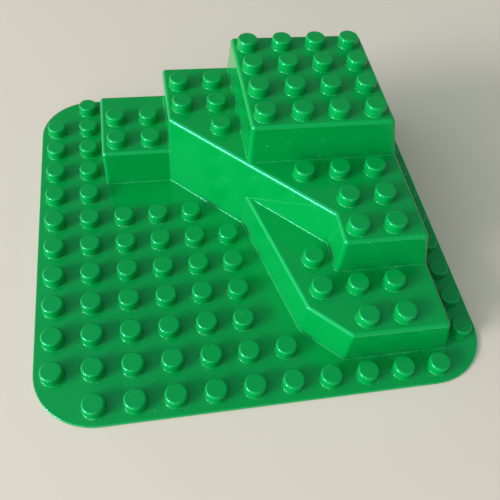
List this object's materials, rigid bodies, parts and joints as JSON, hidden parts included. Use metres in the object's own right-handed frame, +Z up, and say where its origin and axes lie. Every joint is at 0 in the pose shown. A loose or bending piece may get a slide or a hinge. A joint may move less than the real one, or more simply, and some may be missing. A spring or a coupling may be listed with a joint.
{
  "type": "raised building plate",
  "caption": "Square baseplate for preschool building bricks: one formed plastic sheet with a studded deck and hollow steps that climb to a square tower.",
  "frame": {"origin": "centre of the square plate, on the surface it stands on", "axes": "+Z up, +X to the right with the tower at the back right, +Y to the back"},
  "size_m": [0.192, 0.192, 0.0633],
  "materials": {
    "green_plastic": "glossy moulded sheet with faint orange peel"
  },
  "bodies": {
    "root": {"deck": "green_plastic", "deck_studs": "green_plastic", "low_step_walls": "green_plastic", "low_step_top": "green_plastic", "low_step_studs": "green_plastic", "front_step_walls": "green_plastic", "front_step_top": "green_plastic", "front_step_studs": "green_plastic", "middle_step_walls": "green_plastic", "middle_step_top": "green_plastic", "middle_step_studs": "green_plastic", "tower_walls": "green_plastic", "tower_top": "green_plastic", "tower_studs": "green_plastic"}
  },
  "joints": []
}
